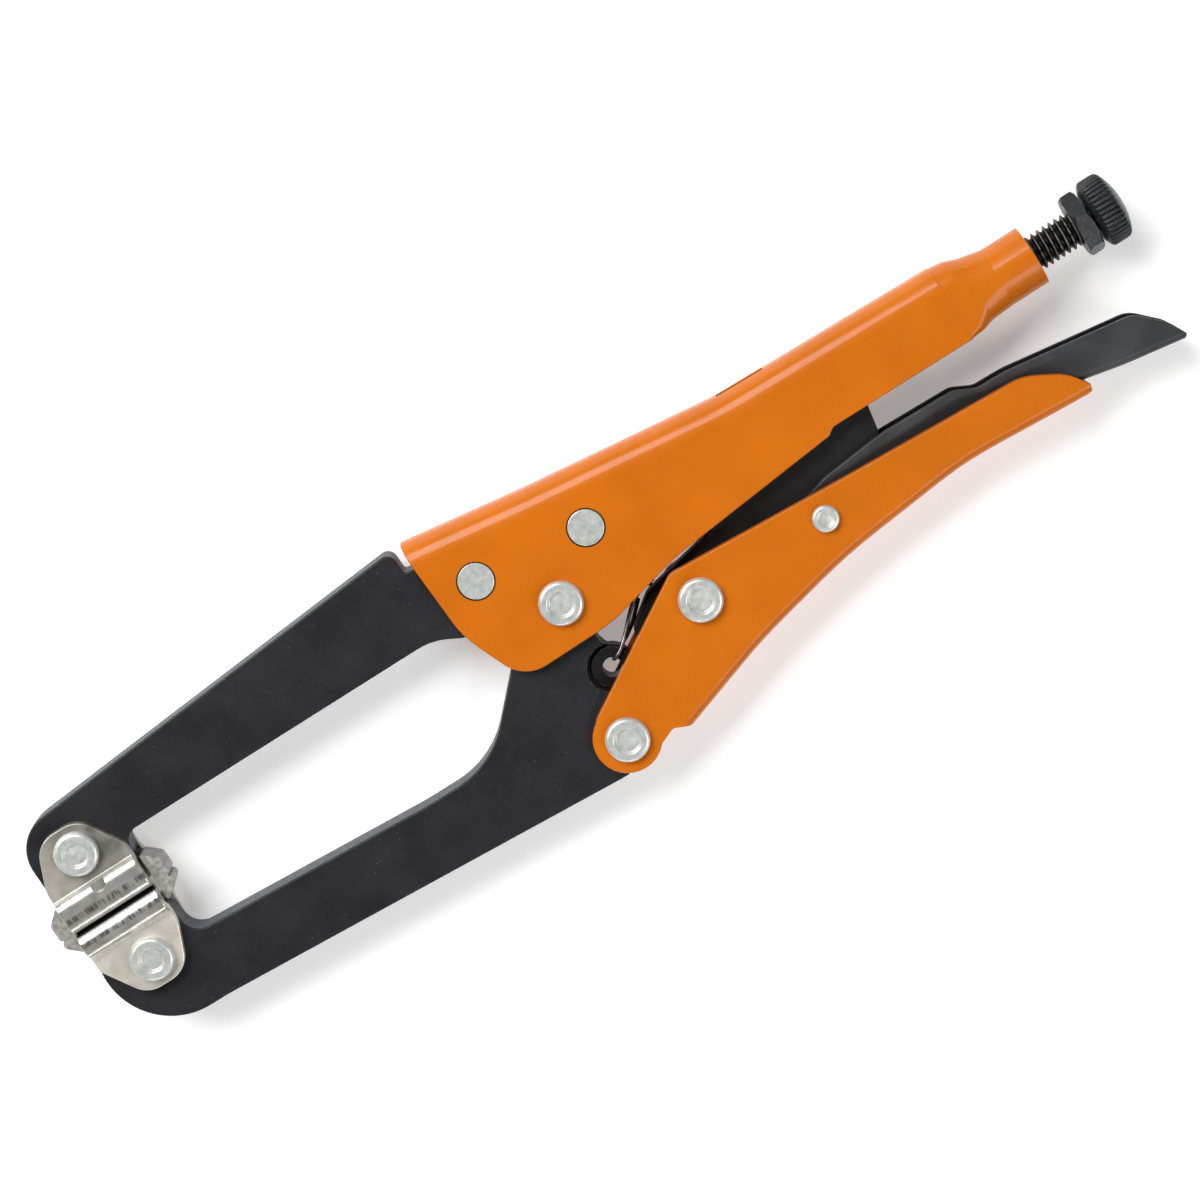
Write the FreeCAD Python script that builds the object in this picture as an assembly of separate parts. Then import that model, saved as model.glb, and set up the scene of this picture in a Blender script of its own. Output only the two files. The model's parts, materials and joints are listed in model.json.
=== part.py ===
import FreeCAD, Part
import math
import os

# Long-reach locking pliers with swivel pads, in millimetres.
#
# The pliers lie on their side. X runs along the adjusting screw towards its knob, Y runs across the
# tool from the moving handle to the fixed handle, Z is the thickness. Everything is drawn about the
# main pivot at (0, 0) with the plates' middle plane at z = 0; build() then moves the whole tool so
# that its origin is the middle of its bounding box in X and Y and its lowest level in Z.

Vector = FreeCAD.Vector

# ---- driving dimensions ------------------------------------------------------------------------
JAW_HALF = 4.0            # half thickness of both jaw plates
CHANNEL_HALF = 4.2        # half width inside both handle channels
CHANNEL_WALL = 2.2        # sheet thickness of the handles
HANDLE_HALF = CHANNEL_HALF + CHANNEL_WALL
LINK_HALF = 2.4           # half thickness of the toggle link
LEVER_HALF = 4.0          # half width of the release lever
LEVER_SHEET = 1.4
HEAD_LEVEL = 8.0          # level of the highest rivet heads above the middle plane

MAIN_PIVOT = (0.0, 0.0)
HANDLE_PIVOT = (-4.0, -32.2)
TOGGLE_PIVOT = (25.0, -15.3)
LEVER_PIVOT = (56.2, -14.9)
JAW_RIVETS = ((-12.5, 13.5), (13.0, 10.6))
SPRING_EYE = (1.4, -18.0)

PIVOT_BARREL = 3.6        # barrel radius of the three large pivot rivets
PIVOT_HEAD = 4.8
LEVER_BARREL = 2.0
LEVER_HEAD = 2.9
JAW_RIVET = 3.9           # radius of the flush jaw rivets
PAD_BARREL = 3.0
PAD_HEAD = 4.8
RUNNING = 0.06            # radial clearance of a turning hole on its barrel

PAD_X = -115.8            # middle of both pads
UPPER_RIVET_X = -115.5    # rivet of the fixed jaw's pad
LOWER_RIVET_X = -114.8    # rivet of the moving jaw's pad
EASE = 0.45               # rounding of the blanked edges of the jaws
SHEET_EASE = 0.35         # and of the handles' sheet
CLOSING_Y = -4.55         # where the two pads meet
UPPER_RIVET_HEIGHT = 14.85   # pad face to pad rivet
LOWER_RIVET_HEIGHT = 12.85
UPPER_WING_HEIGHT = 6.8   # of the ears that lengthen each pad's face
LOWER_WING_HEIGHT = 4.2
PAD_HALF_LENGTH = 10.1
PAD_SHEET = 2.0
PAD_GAP = 0.15            # play between a jaw plate and the pad's flange
TIP_PLAY = 0.45           # between a jaw's tip and the pad's sheet
PAD_BULGE = 7.8           # half width over the pad's rounded shoulders

SCREW_Y = 7.7
SCREW_RADIUS = 3.97       # 5/16 inch thread, major radius
SCREW_TIP_X = 82.3
TAIL_END_X = 121.7
TAIL_RADIUS = 6.65
TUBE_X = 113.0             # where the tail has become a round tube
NUT_X = 132.1
NUT_THICK = 3.5
NUT_FLATS = 12.7
NUT_CHAMFER = 0.7         # along the axis
NUT_TURN = 18.7           # angle of the nut's nearest corner from straight up, in degrees
KNOB_X = 136.2
KNOB_RIM_X = 141.6
KNOB_TOP_X = 143.3
KNOB_RADIUS = 7.6
KNOB_SERRATIONS = 42

SPRING_RADIUS = 3.0
SPRING_WIRE = 0.45        # wire radius

# Outer line of the fixed handle's spine, front to tail
SPINE = ((-22.3, 28.2), (6.0, 24.0), (50.6, 18.5), (102.0, 17.1))
# Outer line of the moving handle's spine, front to tail
FLOOR = ((9.2, -37.3), (31.7, -29.8), (56.0, -24.3), (87.0, -21.0), (116.0, -22.8))


# ---- drawing helpers ---------------------------------------------------------------------------
def rounded_wire(corners, z=0.0):
    """Closed wire through the corners (x, y) or (x, y, radius), each radius as a tangent arc."""
    count = len(corners)
    spans = []
    for i in range(count):
        here = Vector(corners[i][0], corners[i][1], z)
        radius = corners[i][2] if len(corners[i]) > 2 else 0.0
        if radius == 0.0:
            spans.append((here, None, here))
            continue
        back = Vector(corners[i - 1][0], corners[i - 1][1], z) - here
        ahead_corner = corners[(i + 1) % count]
        ahead = Vector(ahead_corner[0], ahead_corner[1], z) - here
        back.normalize()
        ahead.normalize()
        half_angle = back.getAngle(ahead) / 2
        reach = radius / math.tan(half_angle)
        middle = back + ahead
        middle.normalize()
        apex = here + middle * (radius / math.sin(half_angle) - radius)
        spans.append((here + back * reach, apex, here + ahead * reach))
    edges = []
    for i in range(count):
        start, apex, end = spans[i]
        if apex is not None:
            edges.append(Part.Arc(start, apex, end).toShape())
        following = spans[(i + 1) % count][0]
        if (following - end).Length > 1e-6:
            edges.append(Part.makeLine(end, following))
    return Part.Wire(edges)


def plate(corners, half, ease=0.0):
    """Flat plate with the outline given by the corners, centred on the middle plane.

    Its long edges are rounded by ease, if that is given.
    """
    face = Part.Face(rounded_wire(corners, -half))
    solid = face.extrude(Vector(0, 0, 2 * half))
    if ease:
        solid = round_edges(solid, ease, along_plate)
    return solid


def disc(centre, radius, half):
    return Part.makeCylinder(radius, 2 * half, Vector(centre[0], centre[1], -half))


def lifted(points, dy):
    return [(point[0], point[1] + dy) for point in points]


def round_edges(solid, radius, wanted):
    """Fillet the edges whose middle point satisfies wanted(point)."""
    edges = [edge for edge in solid.Edges if wanted(edge.CenterOfMass, edge)]
    return solid.makeFillet(radius, edges)


def runs_along_plate(edge):
    """True for an edge that stays at one level of Z."""
    return edge.BoundBox.ZLength < 1e-4


def along_plate(point, edge):
    return runs_along_plate(edge)


# ---- rivets --------------------------------------------------------------------------------------
def headed_rivet(centre, barrel, head, seat, level, dimple):
    """Rivet with a rounded, dimpled head at both ends; seat is where the heads bear."""
    x, y = centre
    height = level - seat
    edge = min(0.9, 0.55 * height)
    half_section = rounded_wire([
        (0, 0),
        (barrel, 0),
        (barrel, seat),
        (head, seat),
        (head, level, edge),
        (dimple + 0.5, level, 0.3),
        (dimple, level - 0.75, 0.2),
        (0, level - 0.6),
    ])
    face = Part.Face(half_section)
    face.rotate(Vector(0, 0, 0), Vector(1, 0, 0), 90)
    upper = face.revolve(Vector(0, 0, 0), Vector(0, 0, 1), 360)
    lower = upper.mirror(Vector(0, 0, 0), Vector(0, 0, 1))
    rivet = upper.fuse(lower).removeSplitter()
    rivet.translate(Vector(x, y, 0))
    return rivet


def pivot_rivet(centre):
    return headed_rivet(centre, PIVOT_BARREL, PIVOT_HEAD, HANDLE_HALF, HEAD_LEVEL, 2.5)


def lever_rivet():
    return headed_rivet(LEVER_PIVOT, LEVER_BARREL, LEVER_HEAD, HANDLE_HALF, HANDLE_HALF + 1.2, 1.4)


def flush_rivet(centre):
    """Rivet hammered flush with the handle's cheeks, its rims just broken."""
    body = disc(centre, JAW_RIVET, HANDLE_HALF)
    rims = [edge for edge in body.Edges if runs_along_plate(edge)]
    return body.makeFillet(0.2, rims)


# ---- fixed handle --------------------------------------------------------------------------------
def tail_section(x, half_width, low, high, low_radius, high_radius):
    """Rounded rectangle across the tail at x, for the lofts that close the channel into a tube."""
    wire = rounded_wire([
        (-half_width, low, low_radius),
        (half_width, low, low_radius),
        (half_width, high, high_radius),
        (-half_width, high, high_radius),
    ])
    wire.rotate(Vector(0, 0, 0), Vector(0, 1, 0), 90)
    wire.translate(Vector(x, 0, 0))
    return wire


def upper_handle():
    spine_radius = 5.2
    join_x = SPINE[-1][0]
    join_low = 0.3
    join_high = SPINE[-1][1]
    outline = [
        (SPINE[0][0], SPINE[0][1]),
        (SPINE[1][0], SPINE[1][1], 150),
        (SPINE[2][0], SPINE[2][1], 60),
        (join_x, join_high),
        (join_x, join_low),
        (67.8, 0.5, 1),
        (66.0, -0.7, 1),
        (25.0, -4.9, 40),
        (7.0, -9.4, 25),
        (-15.2, -9.7, 8),
        (-21.3, 5.0, 25),
    ]
    outer = plate(outline, HANDLE_HALF)
    outer = round_edges(
        outer, spine_radius,
        lambda p, e: runs_along_plate(e) and p.y > 14 and -21.5 < p.x < join_x)
    outer = round_edges(outer, SHEET_EASE, lambda p, e: runs_along_plate(e) and p.y < 14)
    # the tail closes round the screw: it starts a little inside the channel's end and ends in a tube
    lap = 1.0
    step = 0.06
    round_corner = TAIL_RADIUS - 0.2
    tail = Part.makeLoft([
        tail_section(
            join_x - lap, HANDLE_HALF - step, join_low + step, join_high - step, 0.6, spine_radius),
        tail_section(105.0, 6.45, 0.5, 16.6, 2.2, 5.6),
        tail_section(108.0, 6.6, 0.9, 15.5, 5.2, 6.2),
        tail_section(
            TUBE_X, TAIL_RADIUS, SCREW_Y - TAIL_RADIUS, SCREW_Y + TAIL_RADIUS,
            round_corner, round_corner),
    ], True, True)
    along = Vector(1, 0, 0)
    tube = Part.makeCylinder(
        TAIL_RADIUS, TAIL_END_X - TUBE_X + lap, Vector(TUBE_X - lap, SCREW_Y, 0), along)
    outer = outer.fuse(tail).fuse(tube)

    roof = lifted(SPINE, -CHANNEL_WALL)
    inner_radius = 3.0
    hollow = plate(
        [(-40.0, roof[0][1] + 2.6)] + roof + [(join_x, -20.0), (-40.0, -20.0)], CHANNEL_HALF)
    hollow = round_edges(hollow, inner_radius, lambda p, e: runs_along_plate(e) and p.y > 12)
    bore = SCREW_RADIUS + 0.08
    funnel = Part.makeLoft([
        tail_section(
            join_x - lap, CHANNEL_HALF - step, -3.0, roof[-1][1] - step, 0.3, inner_radius),
        tail_section(110.0, bore, SCREW_Y - bore, SCREW_Y + bore, bore - 0.2, bore - 0.2),
    ], True, True)
    screw_bore = Part.makeCylinder(
        bore, TAIL_END_X - join_x + 1, Vector(join_x - lap, SCREW_Y, 0), along)
    seam = Part.makeBox(TAIL_END_X - 100, 6, 0.35, Vector(104, SCREW_Y - 9, -0.175))
    spring_slot = plate([
        (50.6, 12.0, 1.0), (61.8, 12.0, 1.0), (61.8, 22.0, 1.0), (50.6, 22.0, 1.0)], 1.9)
    handle = outer.cut(hollow).cut(funnel).cut(screw_bore).cut(seam).cut(spring_slot)
    handle = handle.cut(disc(MAIN_PIVOT, PIVOT_BARREL, HANDLE_HALF))
    for centre in JAW_RIVETS:
        handle = handle.cut(disc(centre, JAW_RIVET + 0.15, HANDLE_HALF))
    return handle


# ---- jaws ----------------------------------------------------------------------------------------
def fixed_jaw():
    tongue = lifted(SPINE, -CHANNEL_WALL - 3.2)
    rivet_y = CLOSING_Y + UPPER_RIVET_HEIGHT
    tip_y = CLOSING_Y + PAD_SHEET + TIP_PLAY
    jaw = plate([
        (-126.1, 19.9, 9),
        (-24.6, 28.3, 2.2),
        (-24.6, tongue[0][1], 0.8),
        (tongue[1][0], tongue[1][1] + 0.2, 60),
        (19.5, 16.4, 1.5),
        (19.5, 5.0, 1.5),
        (9.5, 2.5, 1),
        (-10.0, 2.5, 1),
        (-21.6, 4.4, 3),
        (-27.5, 7.6, 14),
        (-104.8, 7.9, 3.0),
        (-106.2, 3.2, 4),
        (-112.0, tip_y, 8),
        (-126.1, tip_y, 7),
    ], JAW_HALF, EASE)
    jaw = jaw.cut(disc(MAIN_PIVOT, 9.7, JAW_HALF))
    for centre in JAW_RIVETS:
        jaw = jaw.cut(disc(centre, JAW_RIVET, JAW_HALF))
    return jaw.cut(disc((UPPER_RIVET_X, rivet_y), PAD_BARREL + RUNNING, JAW_HALF))


def moving_jaw():
    rivet_y = CLOSING_Y - LOWER_RIVET_HEIGHT
    tip_y = CLOSING_Y - PAD_SHEET - TIP_PLAY
    arm = plate([
        (-8.8, 3.0, 4),
        (-17.2, -7.2, 30),
        (-31.5, -21.9, 21),
        (-48.0, -21.8, 60),
        (-105.2, -18.2, 4.5),
        (-105.9, -10.2, 4),
        (-112.0, tip_y, 8),
        (-126.6, tip_y, 9.8),
        (-126.6, -33.1, 16),
        (-106.0, -33.3, 40),
        (-8.0, -39.4, 4),
        (2.9, -34.0, 6),
        (5.9, -18.0, 2),
        (2.2, -12.0, 1.5),
        (2.2, -9.5, 1.5),
        (6.5, -4.0, 3),
        (5.0, 4.0, 3),
    ], JAW_HALF, EASE)
    jaw = arm.fuse([disc(MAIN_PIVOT, 9.2, JAW_HALF), disc(SPRING_EYE, 4.8, JAW_HALF)])
    groove_floor = JAW_HALF - 2.0
    ring_face = JAW_HALF - 1.2
    eye = Vector(SPRING_EYE[0], SPRING_EYE[1], 0)
    for side in (1, -1):
        direction = Vector(0, 0, side)
        groove = Part.makeCylinder(5.5, 3, eye + direction * groove_floor, direction)
        ring = Part.makeCylinder(4.4, ring_face - groove_floor, eye + direction * groove_floor, direction)
        jaw = jaw.cut(groove.cut(ring))
    jaw = jaw.cut(disc(SPRING_EYE, 2.1, JAW_HALF))
    for centre in (MAIN_PIVOT, HANDLE_PIVOT):
        jaw = jaw.cut(disc(centre, PIVOT_BARREL + RUNNING, JAW_HALF))
    jaw = jaw.cut(disc((LOWER_RIVET_X, rivet_y), PAD_BARREL + RUNNING, JAW_HALF))
    return jaw.removeSplitter()


# ---- moving handle and what it carries -----------------------------------------------------------
def lower_handle():
    outline = [
        (-9.4, -26.4, 5),
        (22.4, -7.2, 4),
        (66.0, -9.9, 150),
        (106.5, -11.9, 12),
        (114.6, -16.4, 11),
        (117.6, -20.9),
        (117.2, -22.3),
        (FLOOR[4][0], FLOOR[4][1]),
        (FLOOR[3][0], FLOOR[3][1], 80),
        (FLOOR[2][0], FLOOR[2][1], 120),
        (FLOOR[1][0], FLOOR[1][1], 120),
        (FLOOR[0][0], FLOOR[0][1]),
        (5.4, -35.4, 1.5),
        (1.5, -37.0),
        (-8.0, -36.0),
    ]
    outer = plate(outline, HANDLE_HALF)
    outer = round_edges(
        outer, 2.2,
        lambda p, e: runs_along_plate(e) and 10 < p.x < 116 and p.y < -20.3)
    outer = round_edges(outer, SHEET_EASE, lambda p, e: runs_along_plate(e) and p.y > -20.3)
    outer = outer.fuse(round_edges(disc(HANDLE_PIVOT, 7.4, HANDLE_HALF), SHEET_EASE, along_plate))
    inside = lifted(FLOOR, CHANNEL_WALL)
    hollow = plate(
        [(-30.0, 20.0), (-30.0, -60.0), (11.0, -60.0), (11.0, inside[0][1] + 0.6)]
        + inside[1:] + [(125.0, inside[-1][1]), (125.0, 20.0)], CHANNEL_HALF)
    hollow = round_edges(
        hollow, 1.5, lambda p, e: runs_along_plate(e) and p.x > 12 and -36 < p.y < -15)
    handle = outer.cut(hollow)
    for centre in (HANDLE_PIVOT, TOGGLE_PIVOT):
        handle = handle.cut(disc(centre, PIVOT_BARREL, HANDLE_HALF))
    return handle.cut(disc(LEVER_PIVOT, LEVER_BARREL, HANDLE_HALF)).removeSplitter()


def toggle_link():
    link = plate([
        (9.4, -13.6, 1.5),
        (16.0, -8.6, 4),
        (34.0, -4.9, 30),
        (71.5, 12.8, 3),
        (78.3, 11.6, 3),
        (75.1, -7.0, 1),
        (48.0, -12.8, 30),
        (31.0, -21.5, 8),
        (15.0, -23.0, 6),
        (9.0, -18.0, 2),
    ], LINK_HALF, 0.3)
    return link.cut(disc(TOGGLE_PIVOT, PIVOT_BARREL + RUNNING, LINK_HALF))


def release_lever():
    under = [(139.4, -24.0), (126.0, -21.9), (114.0, -19.3), (88.0, -14.6), (70.0, -14.6), (59.0, -19.9)]
    outline = [
        (51.0, -19.9, 4.5),
        (51.3, -10.4, 4),
        (60.5, -7.9, 8),
        (75.0, -6.4, 30),
        (92.7, -6.9, 4),
        (97.2, -9.2, 4),
        (104.0, -9.4, 20),
        (132.6, -13.6, 6),
        (138.2, -19.2, 6),
        (140.2, -23.1),
        (under[0][0], under[0][1]),
        (under[1][0], under[1][1], 60),
        (under[2][0], under[2][1], 60),
        (under[3][0], under[3][1], 30),
        (under[4][0], under[4][1], 10),
        (under[5][0], under[5][1]),
    ]
    outer = plate(outline, LEVER_HALF)
    outer = round_edges(
        outer, 1.7, lambda p, e: runs_along_plate(e) and 62 < p.x < 139 and p.y < p.x * -0.09 - 7.5)
    outer = round_edges(
        outer, 0.3, lambda p, e: runs_along_plate(e) and p.y > p.x * -0.09 - 7.0)
    above = lifted(under, LEVER_SHEET)
    hollow = plate(
        [(150.0, above[0][1] - 1.0)] + above + [(50.0, above[-1][1]), (50.0, 20.0), (150.0, 20.0)],
        LEVER_HALF - LEVER_SHEET)
    lever = outer.cut(hollow)
    lug = plate([(66.0, -14.0), (66.0, -11.6, 1), (72.0, -11.6, 1), (72.0, -14.0)],
                LEVER_HALF - LEVER_SHEET)
    lever = lever.fuse(lug)
    return lever.cut(disc(LEVER_PIVOT, LEVER_BARREL + RUNNING, LEVER_HALF)).removeSplitter()


# ---- adjusting screw -----------------------------------------------------------------------------
def turned(profile):
    """Solid of revolution about the screw axis; the profile is (x, radius) or (x, radius, round)."""
    face = Part.Face(rounded_wire(profile))
    solid = face.revolve(Vector(0, 0, 0), Vector(1, 0, 0), 360)
    solid.translate(Vector(0, SCREW_Y, 0))
    return solid


def adjusting_screw():
    end_x = KNOB_X + 3.5
    return turned([
        (SCREW_TIP_X, 0),
        (SCREW_TIP_X, 2.6, 0.8),
        (SCREW_TIP_X + 1.6, SCREW_RADIUS),
        (end_x, SCREW_RADIUS),
        (end_x, 0),
    ])


def lock_nut():
    corner = NUT_FLATS / 2 / math.cos(math.pi / 6)
    points = []
    for i in range(6):
        angle = math.radians(60 * i + NUT_TURN)
        points.append(Vector(NUT_X, SCREW_Y + corner * math.sin(angle), corner * math.cos(angle)))
    points.append(points[0])
    blank = Part.Face(Part.makePolygon(points)).extrude(Vector(NUT_THICK, 0, 0))
    cone = turned([
        (NUT_X, 0),
        (NUT_X, NUT_FLATS / 2 + 0.1),
        (NUT_X + NUT_CHAMFER, corner + 0.1),
        (NUT_X + NUT_THICK - NUT_CHAMFER, corner + 0.1),
        (NUT_X + NUT_THICK, NUT_FLATS / 2 + 0.1),
        (NUT_X + NUT_THICK, 0),
    ])
    hole = Part.makeCylinder(
        SCREW_RADIUS + RUNNING, NUT_THICK, Vector(NUT_X, SCREW_Y, 0), Vector(1, 0, 0))
    return blank.common(cone).cut(hole)


def thumb_knob():
    body = turned([
        (KNOB_X, 0),
        (KNOB_X, 6.4),
        (KNOB_X + 0.9, KNOB_RADIUS),
        (KNOB_RIM_X, KNOB_RADIUS, 0.5),
        (KNOB_TOP_X - 0.2, 5.2, 3),
        (KNOB_TOP_X, 0),
    ])
    rim = []
    for i in range(KNOB_SERRATIONS * 2):
        radius = KNOB_RADIUS + 0.02 if i % 2 else KNOB_RADIUS - 0.42
        angle = math.pi * i / KNOB_SERRATIONS
        rim.append(Vector(KNOB_X, SCREW_Y + radius * math.sin(angle), radius * math.cos(angle)))
    rim.append(rim[0])
    star = Part.Face(Part.makePolygon(rim)).extrude(Vector(KNOB_TOP_X + 1 - KNOB_X, 0, 0))
    socket = Part.makeCylinder(SCREW_RADIUS, 3.5, Vector(KNOB_X, SCREW_Y, 0), Vector(1, 0, 0))
    return body.common(star).cut(socket)


# ---- return spring -------------------------------------------------------------------------------
def wire_run(points):
    """Round wire through straight runs with a ball at each bend."""
    pieces = []
    for start, end in zip(points, points[1:]):
        run = end - start
        pieces.append(Part.makeCylinder(SPRING_WIRE, run.Length, start, run))
    for bend in points[1:-1]:
        pieces.append(Part.makeSphere(SPRING_WIRE, bend))
    return pieces


def return_spring():
    """Tension spring as the tube its turns fill, with its hooks at the eye and at the slot."""
    start = Vector(15.5, -5.9, 0)
    end = Vector(43.0, 10.6, 0)
    axis = end - start
    coil = Part.makeCylinder(SPRING_RADIUS, axis.Length, start, axis)
    coil = coil.cut(Part.makeCylinder(SPRING_RADIUS - 2 * SPRING_WIRE, axis.Length, start, axis))
    side = JAW_HALF - 1.2 + SPRING_WIRE + 0.1
    eye_x = 2.35
    eye_y = -16.9
    front_hook = wire_run([
        Vector(16.6, -7.5, 0.2),
        Vector(11.0, -8.9, 1.2),
        Vector(4.9, -15.3, side),
        Vector(eye_x, eye_y, side),
        Vector(eye_x, eye_y, -side),
        Vector(4.9, -15.3, -side),
        Vector(11.0, -8.9, -1.2),
        Vector(11.0, -8.9, 1.2),
    ])
    across = Vector(-axis.y, axis.x, 0)
    across.normalize()
    rear_hook = wire_run([
        end + across * (SPRING_RADIUS - SPRING_WIRE),
        Vector(47.0, 14.2, 0),
        Vector(51.3, 15.0, 0),
        Vector(51.3, 18.4, 0),
    ])
    return coil.fuse(front_hook + rear_hook)


# ---- swivel pads ---------------------------------------------------------------------------------
def pad(rivet_x, rivet_height, wing_height):
    """Pad as it sits on the fixed jaw: bent sheet with two flanges, shoulders and a longer face.

    Local u runs along the jaws from the pad's middle, v rises from its face, w is the thickness.
    """
    flange = JAW_HALF + PAD_GAP
    skin = flange + PAD_SHEET
    top = rivet_height + 6.3
    bulge = rivet_height - 6.6
    long = PAD_HALF_LENGTH
    section = rounded_wire([
        (skin, top),
        (skin, bulge, 0.5),
        (PAD_BULGE, bulge - 1.0, 2.6),
        (PAD_BULGE, 0.0, 2.8),
        (-PAD_BULGE, 0.0, 2.8),
        (-PAD_BULGE, bulge - 1.0, 2.6),
        (-skin, bulge, 0.5),
        (-skin, top),
        (-flange, top),
        (-flange, bulge - 1.0),
        (-PAD_BULGE + PAD_SHEET, bulge - 2.2, 0.5),
        (-PAD_BULGE + PAD_SHEET, PAD_SHEET, 0.8),
        (PAD_BULGE - PAD_SHEET, PAD_SHEET, 0.8),
        (PAD_BULGE - PAD_SHEET, bulge - 2.2, 0.5),
        (flange, bulge - 1.0),
        (flange, top),
    ])
    section.rotate(Vector(0, 0, 0), Vector(0, 1, 0), -90)
    section.translate(Vector(-long, 0, 0))
    bent = Part.Face(section).extrude(Vector(2 * long, 0, 0))
    lug = plate([
        (long, 0),
        (long, rivet_height - 3.4, 1),
        (4.2, top, 6),
        (-5.8, top, 6),
        (-long, rivet_height - 3.8, 8),
        (-long, 0),
    ], PAD_BULGE)
    wing_end = 14.0
    wing_root = long - 0.6
    wing_inner = long + 0.4
    right_wing = [
        (wing_root, 0),
        (wing_end, 0, 1.0),
        (wing_end, wing_height - 2.6, 1.2),
        (long + 1.0, wing_height, 1.2),
        (wing_inner, wing_height),
        (wing_inner, PAD_SHEET),
        (wing_root, PAD_SHEET),
    ]
    left_wing = [(-corner[0],) + corner[1:] for corner in reversed(right_wing)]
    wings = plate(right_wing, JAW_HALF).fuse(plate(left_wing, JAW_HALF))
    piece = bent.common(lug)
    piece = round_edges(
        piece, 0.35, lambda p, e: runs_along_plate(e) and p.y > bulge + 0.4 and abs(abs(p.z) - skin) < 0.01)
    piece = piece.fuse(wings)
    piece = piece.cut(disc((rivet_x - PAD_X, rivet_height), PAD_BARREL, PAD_BULGE))
    piece.translate(Vector(PAD_X, CLOSING_Y, 0))
    return piece.removeSplitter()


def dent_centre():
    """Where a round dent is struck into one shoulder of the fixed jaw's pad."""
    return Vector(PAD_X + 0.6, CLOSING_Y + UPPER_RIVET_HEIGHT - 7.8, PAD_BULGE - 0.9)


def pad_rivet(rivet_x, rivet_height):
    centre = (rivet_x, CLOSING_Y + rivet_height)
    return headed_rivet(centre, PAD_BARREL, PAD_HEAD, JAW_HALF + PAD_GAP + PAD_SHEET, HEAD_LEVEL, 2.3)


def turned_over(piece):
    """The same piece on the other jaw: half a turn about the middle of the pads' meeting line."""
    piece.rotate(Vector(PAD_X, CLOSING_Y, 0), Vector(0, 0, 1), 180)
    return piece


# ---- the whole tool ------------------------------------------------------------------------------
def build():
    """Every node by name, placed in the tool's own frame, and the shift that took it there."""
    # the x that half a turn about the pads' middle carries onto the lower rivet
    turned_rivet_x = 2 * PAD_X - LOWER_RIVET_X
    upper_pad = pad(UPPER_RIVET_X, UPPER_RIVET_HEIGHT, UPPER_WING_HEIGHT)
    dent = Part.makeCylinder(1.7, 2, dent_centre())
    pieces = {
        "upper_handle": upper_handle(),
        "fixed_jaw": fixed_jaw(),
        "fixed_jaw_rivet_front": flush_rivet(JAW_RIVETS[0]),
        "fixed_jaw_rivet_rear": flush_rivet(JAW_RIVETS[1]),
        "main_pivot_rivet": pivot_rivet(MAIN_PIVOT),
        "moving_jaw": moving_jaw(),
        "lower_handle": lower_handle(),
        "handle_pivot_rivet": pivot_rivet(HANDLE_PIVOT),
        "toggle_link": toggle_link(),
        "toggle_pivot_rivet": pivot_rivet(TOGGLE_PIVOT),
        "release_lever": release_lever(),
        "lever_pivot_rivet": lever_rivet(),
        "adjusting_screw": adjusting_screw(),
        "lock_nut": lock_nut(),
        "thumb_knob": thumb_knob(),
        "return_spring": return_spring(),
        "upper_pad": upper_pad.cut(dent),
        "upper_pad_rivet": pad_rivet(UPPER_RIVET_X, UPPER_RIVET_HEIGHT),
        "lower_pad": turned_over(pad(turned_rivet_x, LOWER_RIVET_HEIGHT, LOWER_WING_HEIGHT)),
        "lower_pad_rivet": turned_over(pad_rivet(turned_rivet_x, LOWER_RIVET_HEIGHT)),
    }
    box = FreeCAD.BoundBox()
    for shape in pieces.values():
        box.add(shape.optimalBoundingBox(False, False))
    shift = Vector(-box.Center.x, -box.Center.y, -box.ZMin)
    for shape in pieces.values():
        shape.translate(shift)
    return pieces, shift


def main():
    os.makedirs("parts", exist_ok=True)
    pieces, shift = build()
    for name, shape in pieces.items():
        if not shape.isValid() or len(shape.Solids) != 1:
            print("check", name, shape.isValid(), len(shape.Solids))
        shape.exportStep("parts/" + name + ".step")
    print("main pivot at", round(shift.x, 3), round(shift.y, 3), round(shift.z, 3))


main()
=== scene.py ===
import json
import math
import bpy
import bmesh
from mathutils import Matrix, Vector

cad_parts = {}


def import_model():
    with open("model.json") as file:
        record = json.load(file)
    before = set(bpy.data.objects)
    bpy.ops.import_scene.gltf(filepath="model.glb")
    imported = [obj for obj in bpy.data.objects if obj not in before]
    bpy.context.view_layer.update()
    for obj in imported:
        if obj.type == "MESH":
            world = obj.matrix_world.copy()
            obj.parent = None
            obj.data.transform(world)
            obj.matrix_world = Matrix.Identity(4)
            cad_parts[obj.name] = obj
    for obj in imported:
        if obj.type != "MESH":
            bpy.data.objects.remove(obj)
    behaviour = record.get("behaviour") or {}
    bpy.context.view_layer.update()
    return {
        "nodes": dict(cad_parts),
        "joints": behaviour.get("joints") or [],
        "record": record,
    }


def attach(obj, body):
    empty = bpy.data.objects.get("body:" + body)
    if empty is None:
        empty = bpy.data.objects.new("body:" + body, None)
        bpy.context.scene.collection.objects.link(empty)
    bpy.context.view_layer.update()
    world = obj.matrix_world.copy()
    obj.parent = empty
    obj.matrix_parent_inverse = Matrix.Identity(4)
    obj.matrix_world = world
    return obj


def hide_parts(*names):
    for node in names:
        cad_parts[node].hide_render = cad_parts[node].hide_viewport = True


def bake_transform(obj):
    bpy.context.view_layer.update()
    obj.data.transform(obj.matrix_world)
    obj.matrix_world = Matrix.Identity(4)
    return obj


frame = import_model()

# Long-reach locking pliers lying on their side on a pale floor.
#
# The CAD nodes are shown with node-built finishes. The adjusting screw and the return spring are
# modelled here with their real thread and turns, and the knob with its finer ridges. Lengths in the
# tables below are millimetres from the main pivot, and at() turns them into the frame's metres.

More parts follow.
